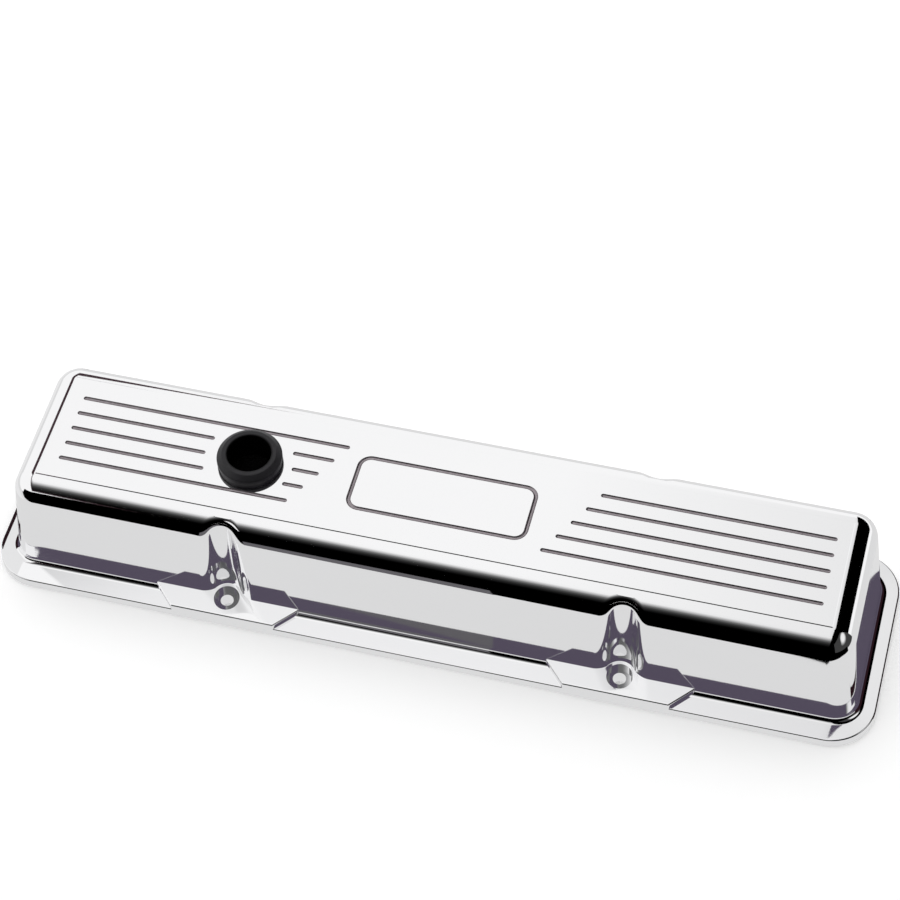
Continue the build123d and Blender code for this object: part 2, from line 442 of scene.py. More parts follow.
@dataclass
class SkinGrid:
    """Columns round the cover and rows down its side, which carry the outer skin."""

    form: CoverForm
    corner_steps: int = 22
    plain_step: float = 9.0
    channel_reach: float = 20.0
    channel_steps: int = 36
    blend_steps: int = 11
    top_rows: int = 64
    wall_rows: int = 16
    foot_rows: int = 14
    flange_rows: int = 5
    edge_rows: int = 6
    fewest: int = 3
    outer_gap: float = 1.0
    outer_step: float = 1.5
    fixed_reach: float = 130.0
    start_gap: float = 1.0
    foot_gap: float = 0.5
    foot_rounds: int = 12
    ray_reach: float = 16.0
    arch_tilt: float = 22.0
    least_cut: float = 1e-6

    def channel_columns(self) -> np.ndarray:
        """Offsets from a bolt's X that spread the columns evenly round the channel and its two blends.

        On the channel they are R sin a, and on a blend they are the ball's centre less r cos b.
        """
        form = self.form
        reach = form.channel_radius + form.channel_blend
        depth = form.bolt_wall_distance + form.channel_blend
        centre = math.sqrt(reach**2 - depth**2)
        contact = math.asin(centre / reach)
        inner = form.channel_radius * np.sin(np.linspace(-contact, contact, self.channel_steps))
        turn = np.linspace(math.pi / 2 - contact, math.pi / 2, self.blend_steps)[1:]
        blend = centre - form.channel_blend * np.cos(turn)
        outer = np.arange(centre + self.outer_gap, self.channel_reach, self.outer_step)
        side = np.concatenate([blend, outer])
        return np.concatenate([-side[::-1], inner, side])

    def spaced(self, start: float, end: float) -> np.ndarray:
        """Evenly spaced places from start to end, near the plain step apart."""
        return np.linspace(start, end, max(self.fewest, int(round((end - start) / self.plain_step)) + 1))

    def side_columns(self) -> np.ndarray:
        """X of the columns along one side at the foot, from left to right."""
        end = self.form.foot_half[0] - self.form.corner_radius
        near = self.channel_columns()
        marks = [-self.form.bolt[0] + near, self.form.bolt[0] + near]
        gaps = [(-end, marks[0][0]), (marks[0][-1], marks[1][0]), (marks[1][-1], end)]
        plain = [self.spaced(*gap) for gap in gaps]
        return np.concatenate([plain[0][:-1], marks[0], plain[1][1:-1], marks[1], plain[2][1:]])

    def columns(self) -> tuple:
        """Arc centres and outward directions of all columns at the foot, anticlockwise from the front left.

        Returns:
            An array of centres in plan and one of unit directions.
        """
        end, side = self.form.foot_half - self.form.corner_radius
        along = self.side_columns()
        across = self.spaced(-side, side)
        turn = np.linspace(0, math.pi / 2, self.corner_steps + 1)[1:-1]
        parts = []
        runs = (
            (along, -side, -math.pi / 2), (end, across, 0.0),
            (along[::-1], side, math.pi / 2), (-end, across[::-1], math.pi),
        )
        for x, y, angle in runs:
            run = np.stack(np.broadcast_arrays(x, y, angle), axis=1)
            corner = np.repeat(run[-1:], len(turn), axis=0)
            corner[:, 2] = angle + turn
            parts += [run, corner]
        rows = np.concatenate(parts)
        return rows[:, :2], np.column_stack([np.cos(rows[:, 2]), np.sin(rows[:, 2])])

    def centres_at(self, centres: np.ndarray, half: np.ndarray) -> np.ndarray:
        """Move the arc centres of the foot to a smaller or larger outline.

        Columns near the bolts keep their X, and those beyond share out the change in length.

        Args:
            centres: Arc centres at the foot.
            half: Half sizes of the new outline's arc centres, one row or one for each column.

        Returns:
            The new arc centres.
        """
        half = np.broadcast_to(half, centres.shape)
        foot = self.form.foot_half - self.form.corner_radius
        beyond = np.maximum(np.abs(centres[:, 0]) - self.fixed_reach, 0)
        inner = np.minimum(np.abs(centres[:, 0]), self.fixed_reach)
        stretch = (half[:, 0] - self.fixed_reach) / (foot[0] - self.fixed_reach)
        across = centres[:, 1] * half[:, 1] / foot[1]
        return np.column_stack([np.sign(centres[:, 0]) * (inner + beyond * stretch), across])

    def outline(self, centres: np.ndarray, directions: np.ndarray, height: np.ndarray) -> np.ndarray:
        """Points of the body's outline at a height for each column."""
        form = self.form
        half = form.foot_half - form.corner_radius - np.reshape(height, (-1, 1)) * form.lean
        return self.centres_at(centres, half) + form.corner_radius * directions

    def rings(self) -> np.ndarray:
        """Rings of the closed skin, from the panel's top edge down to the gasket face."""
        centres, directions = self.columns()
        rings = self.panel_rings(centres, directions) + self.top_rings(centres, directions)
        ball, fall = self.foot_ball(centres, directions)
        rings += self.wall_rings(centres, directions, ball[:, 2])
        rings += self.foot_rings(directions, ball, fall)
        return np.stack(rings + self.flange_rings(centres, directions, rings[-1][:, :2]))

    def slope(self, directions: np.ndarray) -> tuple:
        """Tangent of the wall's draft in each direction, and the length of (1, that tangent)."""
        lean = np.abs(directions) @ self.form.lean
        return lean, np.sqrt(1 + lean**2)

    def panel_rings(self, centres: np.ndarray, directions: np.ndarray) -> list:
        """Rings of the panel's step: a chamfer, then straight down to the body's top."""
        form = self.form
        rings = []
        sides = np.sign(directions) * (np.abs(directions) > PARALLEL)
        top = self.outline(centres, directions, np.full(len(centres), form.body_height))
        for inset in (form.panel_chamfer, 0):
            half = form.panel_half - inset
            height = form.panel_height - (form.panel_chamfer - inset)
            rings.append(ring_at(np.where(sides != 0, sides * half, np.clip(top, -half, half)), height))
        return rings + [ring_at(rings[-1][:, :2], form.body_height)]

    def top_rings(self, centres: np.ndarray, directions: np.ndarray) -> list:
        """Rings of the rounded top edge.

        Each point is the ball's centre plus its radius, tilted from straight up towards the wall's normal.
        """
        form = self.form
        lean, slant = self.slope(directions)
        ball = self.outline(centres, directions, np.full(len(centres), form.round_height))
        ball = ball - form.top_radius * slant[:, None] * directions
        rings = []
        for share in np.linspace(0, 1, self.top_rows):
            tilt = share * (math.pi / 2 - np.arctan(lean))
            plan = ball + form.top_radius * np.sin(tilt)[:, None] * directions
            ring = ring_at(plan, form.round_height + form.top_radius * np.cos(tilt))
            if math.degrees(tilt.max()) > self.arch_tilt:
                ring = self.pressed(ring, directions)
            rings.append(ring)
        return rings

    def foot_ball(self, centres: np.ndarray, directions: np.ndarray) -> tuple:
        """Centre of the ball that rolls along the foot, and the flange's fall under it.

        The centre lies one radius off the wall and off the flange's top. Its height is found in rounds,
        because the wall's place follows from the height, and the flange's height follows from the place.

        Args:
            centres: Arc centres of the columns at the foot.
            directions: Their outward directions.

        Returns:
            The ball's centre and the fall, with a row for each column.
        """
        form = self.form
        slant = self.slope(directions)[1]
        height = np.full(len(centres), form.flange_edge_height + form.foot_radius)
        for _ in range(self.foot_rounds):
            plan = self.outline(centres, directions, height) + form.foot_radius * slant[:, None] * directions
            edge, towards = rounded_box(plan, form.flange_half, form.flange_corner_radius)
            fall = form.fall_towards(towards)
            height = form.flange_edge_height - edge * fall + form.foot_radius * np.hypot(1, fall)
        return ring_at(plan, height), fall

    def wall_rings(self, centres: np.ndarray, directions: np.ndarray, foot: np.ndarray) -> list:
        """Rings of the wall, evenly down from the rounded top edge to where the foot's ball touches it."""
        form = self.form
        lean, slant = self.slope(directions)
        high = form.round_height + form.top_radius * lean / slant
        low = foot - form.foot_radius * lean / slant
        rings = []
        for share in np.linspace(0, 1, self.wall_rows)[1:-1]:
            level = high + (low - high) * share
            rings.append(self.pressed(ring_at(self.outline(centres, directions, level), level), directions))
        return rings

    def foot_rings(self, directions: np.ndarray, ball: np.ndarray, fall: np.ndarray) -> list:
        """Rings of the foot: rays from near the ball's centre, from the wall's normal to the flange's."""
        start, end = np.arctan(self.slope(directions)[0]), math.pi / 2 - np.arctan(fall)
        rings = []
        for share in np.linspace(0, 1, self.foot_rows):
            turn = start + (end - start) * share
            inward = np.column_stack([-directions * np.cos(turn)[:, None], -np.sin(turn)])
            rings.append(self.form.meet(ball + self.foot_gap * inward, inward, self.ray_reach))
        return rings

    def flange_rings(self, centres: np.ndarray, directions: np.ndarray, inner: np.ndarray) -> list:
        """Rings of the flange, out along its slope, round its edge and down to the gasket face.

        Round the edge a point is its arc's centre plus the radius times (cos a, sin a).

        Args:
            centres: Arc centres of the columns at the foot.
            directions: Their outward directions.
            inner: Where the foot ends, in plan.

        Returns:
            The rings.
        """
        form, radius = self.form, self.form.flange_edge_radius
        flange = self.centres_at(centres, form.flange_half - form.flange_corner_radius)
        flange = flange + form.flange_corner_radius * directions
        fall = form.fall_towards(directions)
        turn_end = math.pi / 2 - np.arctan(fall)
        outer = flange - radius * (1 - np.cos(turn_end))[:, None] * directions
        rings = []
        for share in np.linspace(0, 1, self.flange_rows + 1)[1:]:
            plan = inner + (outer - inner) * share
            edge, towards = rounded_box(plan, form.flange_half, form.flange_corner_radius)
            rings.append(ring_at(plan, form.flange_edge_height - edge * form.fall_towards(towards)))
        level = form.flange_edge_height + radius * (fall - np.hypot(1, fall))
        for share in np.linspace(1, 0, self.edge_rows + 1)[1:]:
            turn = turn_end * share
            plan = flange - radius * (1 - np.cos(turn))[:, None] * directions
            rings.append(ring_at(plan, level + radius * np.sin(turn)))
        return rings + [ring_at(flange, 0.0)]

    def pressed(self, ring: np.ndarray, directions: np.ndarray) -> np.ndarray:
        """Move the points of a ring level inwards, to where the channels leave the metal."""
        inward = np.column_stack([-directions, np.zeros(len(directions))])
        moved = self.form.meet(ring - self.start_gap * inward, inward, self.ray_reach)
        removed = self.form.skin(ring).distance > self.least_cut
        return np.where(removed[:, None], moved, ring)


@dataclass
class BoltPad:
    """One of the four pads that carry the bolt heads, flush with the flange's outer edge."""

    form: CoverForm
    height: float = 8.5
    foot_length: float = 76.6
    edge_length: float = 54.6
    radius: float = 0.8
    inner_margin: float = 2.0
    base: float = 0.02
    corner_steps: int = 8
    rim_steps: int = 8
    hole_diameter: float = 6.8
    seat_diameter: float = 13.4
    seat_depth: float = 0.8
    seat_chamfer: float = 0.15
    drill_reach: tuple = (2.0, 6.0)
    around: int = 72

    def solid(self, side_x: int, side_y: int) -> bpy.types.Object:
        """Build a pad as insets of one rounded polygon, stacked along a quarter circle at the rim.

        Every corner is an arc about a point one radius inside its two sides; an inset shortens the arc.

        Args:
            side_x: Which end of the cover, -1 or 1.
            side_y: Which side of the cover, -1 or 1.

        Returns:
            The closed solid.
        """
        form = self.form
        inner = form.bolt[1] - form.channel_radius - self.inner_margin
        foot, edge = self.foot_length / 2, self.edge_length / 2
        corners = np.array([
            [-foot, inner], [foot, inner], [foot, form.foot_half[1]],
            [edge, form.flange_half[1]], [-edge, form.flange_half[1]], [-foot, form.foot_half[1]],
        ])
        sides = np.roll(corners, -1, axis=0) - corners
        sides /= np.linalg.norm(sides, axis=1)[:, None]
        after = np.column_stack([sides[:, 1], -sides[:, 0]])
        before = np.roll(after, 1, axis=0)
        bisector = (before + after) / (1 + np.sum(before * after, axis=1))[:, None]
        centres = corners - self.radius * bisector
        share = np.linspace(0, 1, self.corner_steps)[None, :, None]
        spread = before[:, None, :] * (1 - share) + after[:, None, :] * share
        spread /= np.linalg.norm(spread, axis=2)[:, :, None]
        rings = []
        levels = [(self.radius, self.base)]
        for turn in np.linspace(0, math.pi / 2, self.rim_steps):
            levels.append((self.radius * math.cos(turn), self.height - self.radius * (1 - math.sin(turn))))
        for radius, height in levels:
            plan = (centres[:, None, :] + radius * spread).reshape(-1, 2)
            rise = (form.flange_half[1] - plan[:, 1]) * form.fall * (height > self.base)
            plan = plan * [side_x, side_y] + [side_x * form.bolt[0], 0]
            rings.append(np.column_stack([plan, height + rise]))
        return stack_piece("pad", np.stack(rings))

    def drill(self, side_x: int, side_y: int) -> bpy.types.Object:
        """Build the turned tool that leaves the bolt hole and its sunk seat."""
        hole, seat = self.hole_diameter / 2, self.seat_diameter / 2
        wide, floor = hole + self.seat_chamfer, self.height - self.seat_depth
        below, above = -self.drill_reach[0], self.height + self.drill_reach[1]
        profile = np.array([
            [0, below], [wide, below], [wide, 0], [hole, self.seat_chamfer],
            [hole, floor], [seat, floor], [seat, above], [0, above],
        ])
        centre = (side_x * self.form.bolt[0], side_y * self.form.bolt[1])
        return revolved("drill", profile, centre, self.around)


@dataclass
class MilledPattern:
    """Lines and the frame that a ball mill left in the panel."""

    form: CoverForm
    radius: float = 1.25
    depth: float = 0.75
    side_rows: int = 2
    row_pitch: float = 9.8
    row_slant: float = 5.5
    left_margin: float = 9.7
    right_margin: float = 7.9
    right_start: float = 68.6
    lip_radius: float = 16.8
    left_ring: float = 25.1
    right_ring: float = 23.2
    line_reach: float = 35.2
    frame_half: tuple = (46.0, 16.0)
    frame_corner: float = 6.0
    frame_x: float = 1.0
    around: int = 48
    end_steps: int = 14

    def __post_init__(self) -> None:
        """Work out the height of the ball's centre."""
        self.level = self.form.panel_height - self.depth + self.radius

    def lines(self) -> list:
        """Left end, right end and row of each line, with the rows counted from the middle."""
        half, middle = self.form.panel_half[0], self.form.breather_x
        found = []
        for row in range(-self.side_rows, self.side_rows + 1):
            across, slant, start = self.row_pitch * row, self.row_slant * row, self.left_margin - half
            if abs(across) < self.lip_radius:
                found.append((start, middle - math.sqrt(self.left_ring**2 - across**2), row))
                start = middle + math.sqrt(self.right_ring**2 - across**2)
            found.append((start, middle + self.line_reach + slant, row))
            found.append((self.right_start + slant, half - self.right_margin, row))
        return found

    def line_tool(self, start: float, end: float, row: int) -> bpy.types.Object:
        """Build the swept ball of one line: rings about the X axis whose radii follow a ball at each end."""
        turn = np.linspace(0, math.pi / 2, self.end_steps)
        offset = np.concatenate([start - self.radius * np.cos(turn), end + self.radius * np.sin(turn)])
        radii = np.concatenate([self.radius * np.sin(turn), self.radius * np.cos(turn)])
        angle = np.linspace(0, 2 * math.pi, self.around, endpoint=False)
        rings = np.stack([
            offset[:, None] + 0 * angle,
            row * self.row_pitch + radii[:, None] * np.cos(angle),
            self.level + radii[:, None] * np.sin(angle),
        ], axis=-1)
        return stack_piece("line", rings)

    def frame_tool(self) -> bpy.types.Object:
        """Build the ball's way round the frame: a circle carried along a rounded rectangle."""
        corner = self.frame_corner
        way, out = rounded_way(np.array(self.frame_half) - corner, corner, self.end_steps)
        way = way + [self.frame_x, 0]
        angle = np.linspace(0, 2 * math.pi, self.around, endpoint=False)
        plan = way[:, None, :] + self.radius * np.cos(angle)[None, :, None] * out[:, None, :]
        height = np.broadcast_to(self.level + self.radius * np.sin(angle), plan.shape[:2])
        return stack_piece("frame", np.concatenate([plan, height[:, :, None]], axis=2), closed=True)

    def tool(self) -> bpy.types.Object:
        """Join all the lines and the frame into one cutting tool."""
        return joined("mill", [self.line_tool(*line) for line in self.lines()] + [self.frame_tool()])


@dataclass
class Hollow:
    """The space under the cover, with its four columns and the bosses of the baffle left standing."""

    form: CoverForm
    wall: float = 4.0
    roof: float = 4.5
    boss_radius: float = 4.5
    boss_height: float = 11.0
    screw_radius: float = 2.05
    screw_depth: float = 7.8
    screws: tuple = (50.0, 17.0)
    overlap: float = 1.0
    column_start: float = -3.0
    column_around: int = 96
    boss_around: int = 48
    screw_around: int = 32
    corner_steps: int = 16
    round_steps: int = 12

    def __post_init__(self) -> None:
        """Work out the heights of the roof and of the bosses."""
        self.roof_height = self.form.body_height - self.roof
        self.seat_height = self.roof_height - self.boss_height

    def screw_places(self) -> list:
        """Plan positions of the baffle's four screws."""
        return [(self.form.breather_x + x * self.screws[0], y * self.screws[1]) for x, y in ENDS]

    def core(self) -> bpy.types.Object:
        """Build the core as a stack of rounded rectangles, drawn in along a quarter circle at its top.

        Returns:
            The closed solid that the casting leaves hollow.
        """
        form = self.form
        corner, ball = form.corner_radius - self.wall, form.top_radius - self.wall
        level = self.roof_height - ball
        rows = [(-self.overlap, 0.0), (level, 0.0)]
        for angle in np.linspace(0, math.pi / 2, self.round_steps)[1:]:
            rows.append((level + ball * math.sin(angle), ball * (1 - math.cos(angle))))
        rings = []
        for height, inset in rows:
            half = form.foot_half - self.wall - min(height, level) * form.lean - corner
            plan, _ = rounded_way(half, corner - inset, self.corner_steps)
            rings.append(np.column_stack([plan, np.full(len(plan), height)]))
        core = stack_piece("core", np.stack(rings))
        around, low, high = form.channel_radius + self.wall, self.column_start, form.body_height
        columns = [rod("column", around, low, high, form.bolt * end, self.column_around) for end in ENDS]
        seat, top = self.seat_height, self.roof_height + self.overlap
        columns += [
            rod("boss", self.boss_radius, seat, top, at, self.boss_around) for at in self.screw_places()
        ]
        combine(core, joined("columns", columns), Way.CUT)
        return core

    def screw_drills(self) -> list:
        """Build the tools of the screw holes in the bosses."""
        low, high = self.seat_height - self.overlap, self.seat_height + self.screw_depth
        hole = self.screw_radius
        profile = np.array([[0, low], [hole, low], [hole, high], [0, high + hole / 2]])
        return [revolved("screw_hole", profile, at, self.screw_around) for at in self.screw_places()]


# Finishes


class Wiring:
    """The nodes and links of one tree, added by short calls."""

    def __init__(self, tree: bpy.types.NodeTree) -> None:
        """Take up the tree.

        Args:
            tree: Tree of a material, of the world or of a group.
        """
        self.nodes, self.links = tree.nodes, tree.links

    def feed(self, socket: bpy.types.NodeSocket, value: object) -> None:
        """Link an output to an input, or set the input's own value."""
        if isinstance(value, bpy.types.NodeSocket):
            self.links.new(value, socket)
        else:
            socket.default_value = value

    def add(self, kind: str, inputs: dict | None = None, **settings: object) -> bpy.types.Node:
        """Add a node.

        Args:
            kind: Type of the node.
            inputs: Value or output that feeds each input, by the input's name or number.
            **settings: Properties of the node, which are set before its inputs.

        Returns:
            The node.
        """
        node = self.nodes.new(kind)
        for name, value in settings.items():
            setattr(node, name, value)
        for name, value in (inputs or {}).items():
            self.feed(node.inputs[name], value)
        return node

    def math(self, operation: str, *terms: object) -> bpy.types.NodeSocket:
        """Add a sum of the named kind over values and outputs."""
        return self.add("ShaderNodeMath", dict(enumerate(terms)), operation=operation).outputs[0]

    def mixed(self, share: object, first: object, second: object, **settings: object) -> bpy.types.NodeSocket:
        """Add a mix of two colours, which is the first one where the share is 0."""
        inputs = {"Factor": share, "A": first, "B": second}
        return self.add("ShaderNodeMix", inputs, data_type="RGBA", **settings).outputs["Result"]

    def ranged(
        self, value: object, after: tuple, before: tuple = (0.0, 1.0), **settings: object
    ) -> bpy.types.NodeSocket:
        """Add a value that goes over one range while the given value goes over another.

        Args:
            value: The given value.
            after: Ends of the range of the new value.
            before: Ends of the range of the given value.
            **settings: Properties of the node.

        Returns:
            The new value.
        """
        names = ("From Min", "From Max", "To Min", "To Max")
        inputs = {"Value": value, **dict(zip(names, before + after))}
        return self.add("ShaderNodeMapRange", inputs, **settings).outputs["Result"]


class Shader(Wiring):
    """A material under construction: its tree and its Principled shader."""

    def __init__(self, name: str) -> None:
        """Start a material with one Principled shader.

        Args:
            name: Name of the material.
        """
        self.material = bpy.data.materials.new(name)
        self.material.use_nodes = True
        super().__init__(self.material.node_tree)
        self.surface = self.nodes["Principled BSDF"]

    def dress(self, inputs: dict) -> None:
        """Feed inputs of the shader by name."""
        for name, value in inputs.items():
            self.feed(self.surface.inputs[name], value)

    def marks(
        self, grain: bpy.types.NodeTree, scale: float, detail_scale: float, stretch: float = 1.0
    ) -> tuple:
        """Place the shared grain.

        Args:
            grain: The grain's node group.
            scale: Scale of its cloudy part.
            detail_scale: Scale of its speckle.
            stretch: How many times longer than wide its marks are.

        Returns:
            The outputs of its cloud and of its speckle.
        """
        node = self.add("ShaderNodeGroup", node_tree=grain)
        for name, value in (("Scale", scale), ("Detail Scale", detail_scale), ("Stretch", stretch)):
            self.feed(node.inputs[name], value)
        return node.outputs["Cloud"], node.outputs["Speckle"]

    def off_axis(
        self, axis_x: float, reach: tuple, level: float = 0.0, rise: float = 0.0
    ) -> bpy.types.NodeSocket:
        """Add a share that is 0 near the upright line at x and rises to 1 over a reach of radii.

        Args:
            axis_x: Place of the line along the cover, in metres.
            reach: Radii at which the share leaves 0 and gets to 1, in metres.
            level: Height that the share keeps to, in metres.
            rise: How many times more than a radius a height off that level counts.

        Returns:
            The share's socket.
        """
        place = self.add("ShaderNodeTexCoord").outputs["Object"]
        shift = {"Vector": place, "Location": (-axis_x, 0.0, -level * rise), "Scale": (1.0, 1.0, rise)}
        about = self.add("ShaderNodeMapping", shift).outputs["Vector"]
        radius = self.add("ShaderNodeVectorMath", {0: about}, operation="LENGTH").outputs["Value"]
        return self.ranged(radius, (0.0, 1.0), reach)

    def finished(
        self, metallic: object, colour: object, roughness: object, height: bpy.types.NodeSocket, depth: float
    ) -> bpy.types.Material:
        """Feed the shader and give up the material.

        Args:
            metallic: Value or output for the metal's share.
            colour: Output for the colour.
            roughness: Output for the roughness.
            height: Output for the height of the marks, from 0 to 1.
            depth: Depth of the marks in metres.

        Returns:
            The material.
        """
        bump = self.add("ShaderNodeBump", {"Strength": 1.0, "Distance": depth, "Height": height})
        self.dress({"Metallic": metallic, "Base Color": colour, "Roughness": roughness})
        self.dress({"Normal": bump.outputs["Normal"]})
        return self.material


def grain_group() -> bpy.types.NodeTree:
    """Build the shared grain: soft cloudy variation with a finer speckle over it, each from 0 to 1.

    Returns:
        A node group with inputs Scale, Detail Scale and Stretch, and outputs Cloud and Speckle.
    """
    tree = bpy.data.node_groups.new("metal_grain", "ShaderNodeTree")
    for name, value in (("Scale", 20.0), ("Detail Scale", 400.0), ("Stretch", 1.0)):
        socket = tree.interface.new_socket(name=name, in_out="INPUT", socket_type="NodeSocketFloat")
        socket.default_value = value
    for name in ("Cloud", "Speckle"):
        tree.interface.new_socket(name=name, in_out="OUTPUT", socket_type="NodeSocketFloat")
    grain = Wiring(tree)
    given, made = grain.add("NodeGroupInput").outputs, grain.add("NodeGroupOutput").inputs
    place = grain.add("ShaderNodeTexCoord").outputs["Object"]
    x, y, z = grain.add("ShaderNodeSeparateXYZ", {0: place}).outputs
    x = grain.math("DIVIDE", x, given["Stretch"])
    place = grain.add("ShaderNodeCombineXYZ", {"X": x, "Y": y, "Z": z}).outputs[0]
    for output, scale, detail in (("Cloud", "Scale", 3.0), ("Speckle", "Detail Scale", 6.0)):
        noise = grain.add("ShaderNodeTexNoise", {"Vector": place, "Scale": given[scale], "Detail": detail})
        grain.feed(made[output], noise.outputs["Fac"])
    return tree


@dataclass(frozen=True)
class PolishedAluminium:
    """Mirror polish with the faint haze and long waves that buffing leaves."""

    colour: tuple = (0.93, 0.93, 0.935, 1.0)
    hazed: tuple = (0.90, 0.90, 0.91, 1.0)
    marks: tuple = (24.0, 900.0, 6.0)
    roughness: tuple = (0.035, 0.075)
    wave: float = 0.000004

    def material(self, grain: bpy.types.NodeTree) -> bpy.types.Material:
        """Build the material from the shared grain."""
        shader = Shader("polished_aluminium")
        cloud, speckle = shader.marks(grain, *self.marks)
        colour = shader.mixed(cloud, self.colour, self.hazed)
        return shader.finished(1.0, colour, shader.ranged(speckle, self.roughness), cloud, self.wave)


@dataclass(frozen=True)
class CastAluminium:
    """The skin that the sand core left inside: grey, dull and faintly pebbled."""

    light: tuple = (0.56, 0.56, 0.55, 1.0)
    dark: tuple = (0.36, 0.36, 0.36, 1.0)
    marks: tuple = (60.0, 1400.0)
    roughness: tuple = (0.42, 0.62)
    pebble: float = 0.00025

    def material(self, grain: bpy.types.NodeTree) -> bpy.types.Material:
        """Build the material from the shared grain."""
        shader = Shader("cast_aluminium")
        cloud, speckle = shader.marks(grain, *self.marks)
        colour = shader.mixed(cloud, self.dark, self.light)
        return shader.finished(1.0, colour, shader.ranged(cloud, self.roughness), speckle, self.pebble)


@dataclass(frozen=True)
class FacedAluminium:
    """The gasket face, with the arcs that a facing cutter left on it."""

    light: tuple = (0.80, 0.80, 0.80, 1.0)
    dark: tuple = (0.66, 0.66, 0.67, 1.0)
    marks: tuple = (18.0, 500.0)
    roughness: tuple = (0.24, 0.38)
    arc_shift: tuple = (0.9, 0.0, 0.0)
    arc_scale: float = 260.0
    arc_wobble: float = 0.6
    arc_depth: float = 0.00003

    def material(self, grain: bpy.types.NodeTree) -> bpy.types.Material:
        """Build the material: circular bands about a far centre, which show as arcs across the flange."""
        shader = Shader("faced_aluminium")
        place = shader.add("ShaderNodeTexCoord").outputs["Object"]
        shift = shader.add("ShaderNodeMapping", {"Vector": place, "Location": self.arc_shift})
        bands = {"Vector": shift.outputs["Vector"], "Scale": self.arc_scale, "Distortion": self.arc_wobble}
        bands = shader.add("ShaderNodeTexWave", bands, wave_type="RINGS", rings_direction="Z").outputs["Fac"]
        cloud, _ = shader.marks(grain, *self.marks)
        colour = shader.mixed(bands, self.dark, self.light)
        return shader.finished(1.0, colour, shader.ranged(cloud, self.roughness), bands, self.arc_depth)


@dataclass(frozen=True)
class MilledAluminium:
    """The ball mill's grooves, which the polishing wheel never reached."""

    light: tuple = (0.42, 0.385, 0.40, 1.0)
    dark: tuple = (0.25, 0.215, 0.235, 1.0)
    marks: tuple = (120.0, 2200.0, 0.3)
    roughness: tuple = (0.24, 0.36)
    mark: float = 0.00004

    def material(self, grain: bpy.types.NodeTree) -> bpy.types.Material:
        """Build the material from the shared grain."""
        shader = Shader("milled_aluminium")
        cloud, speckle = shader.marks(grain, *self.marks)
        colour = shader.mixed(cloud, self.dark, self.light)
        return shader.finished(1.0, colour, shader.ranged(speckle, self.roughness), speckle, self.mark)


@dataclass(frozen=True)
class MouldedRubber:
    """Black rubber with a satin skin and a trace of bloom, and painted shade that darkens its bore and takes
    most of its specular.
    """

    colour: tuple = (0.004, 0.004, 0.005, 1.0)
    bloom: tuple = (0.012, 0.011, 0.014, 1.0)
    marks: tuple = (150.0, 2600.0)
    roughness: tuple = (0.34, 0.52)
    skin: float = 0.00006
    # painted shade of the bore: its colour, then its specular levels in the bore and outside it
    painted_hole_shade: tuple = (0.0006, 0.0006, 0.0006, 1.0)
    gloss: tuple = (0.06, 0.40)
    axis_x: float = -0.1
    bore: tuple = (0.0113, 0.0124)

    def material(self, grain: bpy.types.NodeTree) -> bpy.types.Material:
        """Build the material from the shared grain, with painted shade where it is near the bore's axis."""
        shader = Shader("moulded_rubber")
        cloud, speckle = shader.marks(grain, *self.marks)
        # painted shade: the bore's face is darkened and loses most of its specular, for the shade inside the
        # hole
        outside = shader.off_axis(self.axis_x, self.bore)
        colour = shader.mixed(outside, self.painted_hole_shade, shader.mixed(cloud, self.colour, self.bloom))
        shader.dress({"Specular IOR Level": shader.ranged(outside, self.gloss)})
        return shader.finished(0.0, colour, shader.ranged(speckle, self.roughness), speckle, self.skin)


@dataclass(frozen=True)
class ZincPlate:
    """Bright zinc on pressed steel, with the sheet's rolling marks under it.

    Painted shade can make it black, unmetallic and dull where it lies below the breather's hole.
    """

    name: str = "zinc_plate"
    light: tuple = (0.70, 0.72, 0.75, 1.0)
    dark: tuple = (0.50, 0.52, 0.56, 1.0)
    marks: tuple = (90.0, 1600.0)
    stretch: float = 14.0
    roughness: tuple = (0.20, 0.36)
    mark: float = 0.00002
    # painted shade below the breather's hole: whether there is any, its colour and specular level, the hole's
    # axis, the radii over which it fades, and the plate's top
    hole_shaded: bool = False
    painted_hole_shade: tuple = (0.002, 0.002, 0.002, 1.0)
    shade_gloss: float = 0.1
    axis_x: float = -0.1
    shade_reach: tuple = (0.020, 0.030)
    top: float = 0.0509
    top_rise: float = 40.0

    def material(self, grain: bpy.types.NodeTree) -> bpy.types.Material:
        """Build the material from the shared grain, with painted shade where the plate's top is near the
        breather's axis.
        """
        shader = Shader(self.name)
        cloud, speckle = shader.marks(grain, *self.marks, self.stretch)
        unshaded, colour = 1.0, shader.mixed(cloud, self.dark, self.light)
        # painted shade: where the breather's hole looks down on the plate's top it is made black, not
        # metallic and with little specular
        if self.hole_shaded:
            unshaded = shader.off_axis(self.axis_x, self.shade_reach, self.top, self.top_rise)
            colour = shader.mixed(unshaded, self.painted_hole_shade, colour)
            shader.dress({"Specular IOR Level": self.shade_gloss})
        return shader.finished(unshaded, colour, shader.ranged(speckle, self.roughness), speckle, self.mark)


# Sub-assemblies


